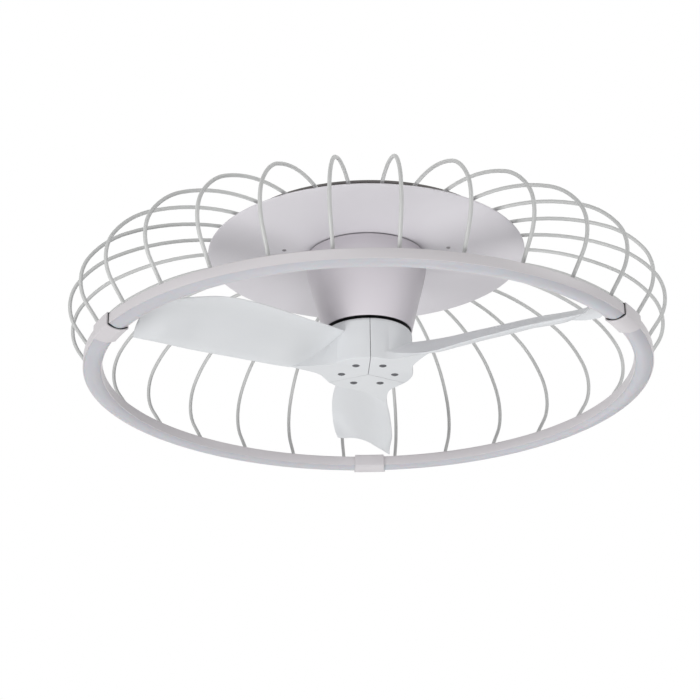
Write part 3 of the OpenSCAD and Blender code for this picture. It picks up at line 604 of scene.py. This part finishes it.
def cage_wires():
    """Thirty wires, in the same satin paint as the canopy, a little greyer on the slim wire."""
    grey = painted("wire_paint_finish", colour(203, 204, 203), colour(197, 198, 197), 0.46)
    for part, name in enumerate(("front", "right", "left")):
        bm = bmesh.new()
        for i in range(WIRES_PER_THIRD):
            angle = part * THIRD + (i - (WIRES_PER_THIRD - 1) / 2) * WIRE_STEP
            if angle != LEAD_ANGLE:
                single = bmesh.new()
                rod(single, wire_line(BAND_R), angle, WELD_R - WIRE_R)
                add_to(bm, single)
        finished(f"{name}_wires", bm, "satin_paint", "frame", f"cage_wires_{name}", finish=grey)
    bm = bmesh.new()
    rod(bm, wire_line(TUBE_START_R), LEAD_ANGLE, 0.5 * (WELD_R - WIRE_R))
    finished("hollow_wire", bm, "satin_paint", "frame", "lead_tube", finish=grey)


def add_to(whole, single):
    """Moves one bmesh's geometry into another."""
    mesh = bpy.data.meshes.new("part")
    single.to_mesh(mesh)
    single.free()
    whole.from_mesh(mesh)
    bpy.data.meshes.remove(mesh)


# ---------- lit ring ----------

def ring_thirds():
    """Names of the ring's thirds with the angles where each starts and stops."""
    starts = (JOINT_ANGLES[2] - 360, JOINT_ANGLES[0], JOINT_ANGLES[1])
    return zip(("front", "right", "left"), starts, JOINT_ANGLES)


def ring_channels():
    inner = ring_r - RING_W
    roof = ring_top - RING_T
    for name, start, stop in ring_thirds():
        bm = bmesh.new()
        outline(bm, [
            (inner, ring_low), (inner + RING_T, ring_low), (inner + RING_T, roof),
            (ring_r - RING_T, roof), (ring_r - RING_T, ring_low), (ring_r, ring_low),
            (ring_r, ring_top), (inner, ring_top),
        ], [((6, 7), RING_TOP_ROUND, 5), ((0, 1, 4, 5), RING_LIP_ROUND, 2)])
        swept_arc(bm, FRONT + start + CHANNEL_GAP, FRONT + stop - CHANNEL_GAP, THIRD_STEPS)
        finished(f"{name}_channel", bm, "ring_paint", "frame", f"ring_channel_{name}")


def arch(width, low):
    """Points of a shallow arch below a height, from its inner end to its outer end."""
    middle = ring_r - RING_W / 2
    across = [2 * k / DOME_STEPS - 1 for k in range(DOME_STEPS + 1)]
    return [(middle + width / 2 * a, low + DIFFUSER_DOME * (a * a - 1)) for a in across]


def ring_diffusers():
    low = arch(RING_W - 2 * RING_T - 2 * DIFFUSER_FIT, ring_low)
    for name, start, stop in ring_thirds():
        bm = bmesh.new()
        outline(bm, low + [(x, z + DIFFUSER_T) for x, z in reversed(low)])
        swept_arc(bm, FRONT + start + 2 * CHANNEL_GAP, FRONT + stop - 2 * CHANNEL_GAP, THIRD_STEPS)
        finished(f"{name}_diffuser", bm, "opal_diffuser", "frame", f"ring_diffuser_{name}")


def frame_round_ring(name, slot, node, start, angle, gap, side, wall, round_r, ease):
    """Closed frame round the ring's section, with a domed foot, swept through a short arc."""
    low, high = ring_low - gap, ring_top + gap
    inner, outer = ring_r - RING_W - gap, ring_r + gap
    bm = bmesh.new()
    corners = (0, DOME_STEPS, DOME_STEPS + 1, DOME_STEPS + 2)
    outline(bm, arch(outer - inner + 2 * side, low - wall)
            + [(outer + side, high + wall), (inner - side, high + wall)], [(corners, round_r, 5)])
    outline(bm, arch(outer - inner, low) + [(outer, high), (inner, high)])
    bmesh.ops.delete(bm, geom=bm.faces[:], context="FACES_ONLY")
    first = bm.edges[:]
    bmesh.ops.rotate(bm, verts=bm.verts[:], cent=(0, 0, 0), matrix=turn(FRONT + start))
    last = bmesh.ops.spin(bm, geom=bm.verts[:] + bm.edges[:], cent=(0, 0, 0), axis=(0, 0, 1),
                          dvec=(0, 0, 0), angle=math.radians(angle), steps=SLEEVE_STEPS)["geom_last"]
    bmesh.ops.bridge_loops(bm, edges=first)
    bmesh.ops.bridge_loops(bm, edges=[part for part in last if isinstance(part, bmesh.types.BMEdge)])
    merge(bm)
    ease_edges(bm, ease)
    finished(name, bm, slot, "frame", node)


def ring_joints():
    for name, angle in zip(("right", "far", "left"), JOINT_ANGLES):
        frame_round_ring(f"{name}_sleeve", "ring_paint", f"joint_sleeve_{name}",
                         angle - SLEEVE_ANGLE / 2, SLEEVE_ANGLE, SLEEVE_FIT, SLEEVE_SIDE,
                         SLEEVE_WALL, SLEEVE_ROUND, SLEEVE_EASE)
    for name, angle, side in (("right", JOINT_ANGLES[0], -1), ("left", JOINT_ANGLES[2], 1)):
        middle = angle + side * (SLEEVE_ANGLE + SEAL_ANGLE) / 2
        frame_round_ring(f"{name}_end_seal", "black_rubber", f"end_seal_{name}",
                         middle - SEAL_ANGLE / 2, SEAL_ANGLE, SEAL_FIT, SEAL_SIDE,
                         SEAL_WALL, SEAL_ROUND, SEAL_EASE)


# ---------- blades ----------

def station_value(out, column):
    """Value in a column of the stations at a distance out, on a smooth curve through them."""
    last = len(BLADE_STATIONS) - 1
    i = max([k for k in range(last) if out >= BLADE_STATIONS[k][0]], default=0)
    before, here = BLADE_STATIONS[max(0, i - 1)], BLADE_STATIONS[i]
    after, beyond = BLADE_STATIONS[i + 1], BLADE_STATIONS[min(last, i + 2)]
    span = after[0] - here[0]
    t = (out - here[0]) / span
    slope_here = (after[column] - before[column]) / (after[0] - before[0]) * span
    slope_after = (beyond[column] - here[column]) / (beyond[0] - here[0]) * span
    return ((2 * t ** 3 - 3 * t ** 2 + 1) * here[column] + (t ** 3 - 2 * t ** 2 + t) * slope_here
            + (3 * t ** 2 - 2 * t ** 3) * after[column] + (t ** 3 - t ** 2) * slope_after)


def corner_in(out, depth, width):
    """How far an oval corner of the tip has come in from the edge at a distance out."""
    past = max(0, (out - TIP_R + depth) / depth)
    return width * (1 - math.sqrt(max(0, 1 - past * past)))


def arch_at(out, s):
    """Height of the section's arch, a share s of the way from its leading edge."""
    rise, sway = 4 * s * (1 - s), SWAY_SCALE * s * (1 - s) * (1 - 2 * s)
    return station_value(out, 5) * rise + station_value(out, 6) * sway


def blade_point(out, around):
    """Point on the blade's skin at a distance out and an angle round its section."""
    lead = Vector((station_value(out, 1), station_value(out, 2)))
    trail = Vector((station_value(out, 3), station_value(out, 4)))
    chord = (trail - lead).length
    along = (trail - lead) / chord
    up = Vector((-along.y, along.x))
    first = corner_in(out, *LEAD_CORNER) / chord
    last = 1 - corner_in(out, *TRAIL_CORNER) / chord
    thick = BLADE_T * (1 + max(0, THICKER_FROM - out) / THICKER_OVER)
    edge = (TIP_R - out) / (0.5 * BLADE_T)
    if edge < 1:
        thick *= math.sqrt(max(0, 1 - (1 - edge) ** 2))
    s = first + (last - first) * (1 - math.cos(around)) / 2
    side = math.copysign(1, math.sin(around))
    lift = arch_at(out, s) + side * thick / 2 * abs(math.sin(around)) ** FULLNESS
    place = lead + along * chord * s - up * lift
    return Vector((out, place.x, place.y)) * MM


def blade_skin():
    """Grid wrapped round the blade's sections and closed at both ends.

    Its rings crowd towards the tip, and the last one stops just short of it.
    """
    rings, sides, crowding = 64, 56, 2.2
    root, tip = BLADE_STATIONS[0][0], TIP_R - 0.02
    bm = bmesh.new()
    bmesh.ops.create_grid(bm, x_segments=rings, y_segments=sides, size=0.5)
    for vert in bm.verts:
        along, around = vert.co.x + 0.5, vert.co.y + 0.5
        out = root + (tip - root) * (1 - (1 - along) ** crowding)
        vert.co = blade_point(out, around * math.tau)
    merge(bm)
    bmesh.ops.holes_fill(bm, edges=[edge for edge in bm.edges if edge.is_boundary], sides=0)
    return bm


def middle_z(out, side):
    """Height of the blade's middle surface."""
    lead = Vector((station_value(out, 1), station_value(out, 2)))
    trail = Vector((station_value(out, 3), station_value(out, 4)))
    s = max(0, min(1, (lead.x - side) / (lead.x - trail.x)))
    lift = arch_at(out, s) * (trail - lead).length / (lead.x - trail.x)
    return lead.y + s * (trail.y - lead.y) + lift


def blade_web():
    """Web under the blade's root, as deep as the hub."""
    bm = bmesh.new()
    loops = []
    for out, lead, trail in WEB_STATIONS:
        corners = [(lead, hub_low / MM), (lead, middle_z(out, lead)),
                   (trail, middle_z(out, trail)), (trail, hub_low / MM)]
        verts = [bm.verts.new(Vector((out, side, high)) * MM) for side, high in corners]
        loops.append([bm.edges.new((verts[k], verts[(k + 1) % 4])) for k in range(4)])
    for near, far in zip(loops, loops[1:]):
        bmesh.ops.bridge_loops(bm, edges=near + far)
    bmesh.ops.holes_fill(bm, edges=[edge for edge in bm.edges if edge.is_boundary], sides=0)
    return bm


def hub_sector():
    """Third of the hub: a cup with a rolled rim."""
    bm = bmesh.new()
    half = THIRD / 2
    rim = HUB_RIM_ROUND
    outline(bm, [
        (0, hub_low), (HUB_R, hub_low), (HUB_R, hub_top),
        (HUB_R - rim, hub_top), (HUB_R - rim, hub_top - SECTOR_WALL),
        (HUB_R - SECTOR_WALL, hub_top - SECTOR_WALL), (HUB_R - SECTOR_WALL, hub_low + SECTOR_FLOOR),
        (0, hub_low + SECTOR_FLOOR),
    ], [((1,), HUB_FLOOR_ROUND, 4), ((2,), rim * 0.999, 10), ((5,), (rim - SECTOR_WALL) * 0.999, 8)])
    swept_arc(bm, -half, half, 56)
    merge(bm)
    for side in (-1, 1):
        outwards = turn(side * half) @ Vector((0, side, 0))
        bmesh.ops.bisect_plane(bm, geom=bm.verts[:] + bm.edges[:] + bm.faces[:], clear_outer=True,
                               plane_co=-outwards * SECTOR_GAP / 2, plane_no=outwards)
        bmesh.ops.holes_fill(bm, edges=[edge for edge in bm.edges if edge.is_boundary], sides=0)
    return bm


def union(*solids):
    """One closed bmesh made of several that overlap."""
    holders = []
    for solid in solids:
        bmesh.ops.recalc_face_normals(solid, faces=solid.faces[:])
        mesh = bpy.data.meshes.new("part")
        solid.to_mesh(mesh)
        solid.free()
        holders.append(bpy.data.objects.new("part", mesh))
        bpy.context.scene.collection.objects.link(holders[-1])
    for other in holders[1:]:
        joint = holders[0].modifiers.new("union", "BOOLEAN")
        joint.operation = "UNION"
        joint.solver = "EXACT"
        joint.object = other
    whole = bmesh.new()
    whole.from_object(holders[0], bpy.context.evaluated_depsgraph_get())
    for holder in holders:
        mesh = holder.data
        bpy.data.objects.remove(holder)
        bpy.data.meshes.remove(mesh)
    return whole


def blades():
    for i in range(3):
        bm = union(hub_sector(), blade_skin(), blade_web())
        bmesh.ops.rotate(bm, verts=bm.verts[:], cent=(0, 0, 0), matrix=turn(ROTOR_TURN + i * THIRD))
        finished(f"pitched_blade_{i + 1}", bm, "blade_plastic", "rotor", f"blade_{i + 1}")


# ---------- nodes kept as they are built ----------

def merged_copy(node):
    """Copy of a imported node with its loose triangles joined."""
    bm = bmesh.new()
    bm.from_mesh(frame["nodes"][node].data)
    merge(bm, 2 * MERGE)
    return bm


def kept_nodes():
    """Every other node, its shape as built; two have a paler shade of their finish."""
    own_finish = {
        "pan_rim_seal": rubber("grey_rim_skin", colour(122, 118, 117), colour(108, 105, 104)),
        "fixing_screws": screw_zinc("grey_zinc", colour(172, 170, 172), colour(152, 150, 152)),
    }
    slots = {part["node"]: part["material_slot"] for part in frame["record"]["subparts"]}
    body_of = {name: node["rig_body"] for name, node in frame["nodes"].items()}
    replaced = {name for piece in bpy.data.objects if "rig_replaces" in piece
                for name in piece["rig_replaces"]}
    for node in sorted(frame["nodes"]):
        if node in replaced:
            continue
        bm = merged_copy(node)
        mesh = bpy.data.meshes.new(node)
        bm.to_mesh(mesh)
        bm.free()
        shown(f"{node}_finished", mesh, slots[node], body_of[node], (node,), crease=30,
              finish=own_finish.get(node))


# ---------- studio ----------

def studio():
    """Pale floor well below the fan, plain soft light, white all round."""
    floor_z, floor_half = -2.95, 7
    bm = bmesh.new()
    bmesh.ops.create_grid(bm, x_segments=1, y_segments=1, size=floor_half)
    bmesh.ops.translate(bm, verts=bm.verts[:], vec=(0, 0, floor_z))
    mesh = bpy.data.meshes.new("floor")
    bm.to_mesh(mesh)
    bm.free()
    paper = Recipe("floor_paper", roughness=0.9)
    tone = paper.between(paper.noise(0.6, 3), colour(246, 246, 246), colour(242, 242, 242))
    mesh.materials.append(paper.surface(base_color=tone))
    floor = bpy.data.objects.new("floor", mesh)
    bpy.context.scene.collection.objects.link(floor)

    world = bpy.data.worlds.new("studio")
    bpy.context.scene.world = world
    world.use_nodes = True
    tree = world.node_tree
    soft = tree.nodes["Background"]
    soft.inputs["Color"].default_value = (1, 1, 1, 1)
    soft.inputs["Strength"].default_value = 0.27
    white = tree.nodes.new("ShaderNodeBackground")
    white.inputs["Color"].default_value = (1, 1, 1, 1)
    path = tree.nodes.new("ShaderNodeLightPath")
    seen = path.outputs["Is Camera Ray"]
    for ray in ("Is Glossy Ray", "Is Transmission Ray"):
        either = tree.nodes.new("ShaderNodeMath")
        either.operation = "MAXIMUM"
        tree.links.new(seen, either.inputs[0])
        tree.links.new(path.outputs[ray], either.inputs[1])
        seen = either.outputs[0]
    choose = tree.nodes.new("ShaderNodeMixShader")
    tree.links.new(seen, choose.inputs["Fac"])
    tree.links.new(soft.outputs[0], choose.inputs[1])
    tree.links.new(white.outputs[0], choose.inputs[2])
    tree.links.new(choose.outputs[0], tree.nodes["World Output"].inputs["Surface"])

    for name, place, size, power in (
        ("key_light", (-2.1, -1.2, -1.5), 1.6, 37),
        ("front_light", (-0.5, -1.45, 0.6), 1.0, 7),
        ("low_light", (0.45, -0.55, -1.65), 1.0, 12),
        ("side_light", (1.45, -0.55, 0.6), 1.0, 7.5),
        ("back_light", (0, 1.4, -1.5), 1.2, 4.6),
    ):
        lamp = bpy.data.lights.new(name, "AREA")
        lamp.shape = "DISK"
        lamp.size = size
        lamp.energy = power
        holder = bpy.data.objects.new(name, lamp)
        aim = Vector((0, 0, -0.1)) - Vector(place)
        holder.location = place
        holder.rotation_euler = aim.to_track_quat("-Z", "Y").to_euler()
        bpy.context.scene.collection.objects.link(holder)


def camera():
    """Camera below and in front of the fan, looking up at it, with a slight tilt."""
    distance = 2.0726
    elevation = math.radians(25.244)
    yaw, pitch, roll = 0.00941318, -0.0485069, 0.0157767
    target = Vector((0, 0, -0.018))
    place = target + distance * Vector((0, -math.cos(elevation), -math.sin(elevation)))
    ahead = (target - place).normalized()
    right = ahead.cross(Vector((0, 0, 1))).normalized()
    up = right.cross(ahead)
    axes = Matrix((right, up, ahead))
    axes = (Matrix.Rotation(roll, 3, "Z") @ Matrix.Rotation(pitch, 3, "X")
            @ Matrix.Rotation(yaw, 3, "Y") @ axes)
    lens = bpy.data.cameras.new("camera")
    lens.sensor_width = 36
    lens.lens = 97.15
    holder = bpy.data.objects.new("camera", lens)
    pose = Matrix((axes[0], axes[1], -axes[2])).transposed().to_4x4()
    holder.matrix_world = Matrix.Translation(place) @ pose
    bpy.context.scene.collection.objects.link(holder)
    bpy.context.scene.camera = holder


camera()
studio()
canopy_disc()
motor_housing()
cage_wires()
ring_channels()
ring_diffusers()
ring_joints()
blades()
kept_nodes()

bpy.context.scene.view_settings.view_transform = "Standard"
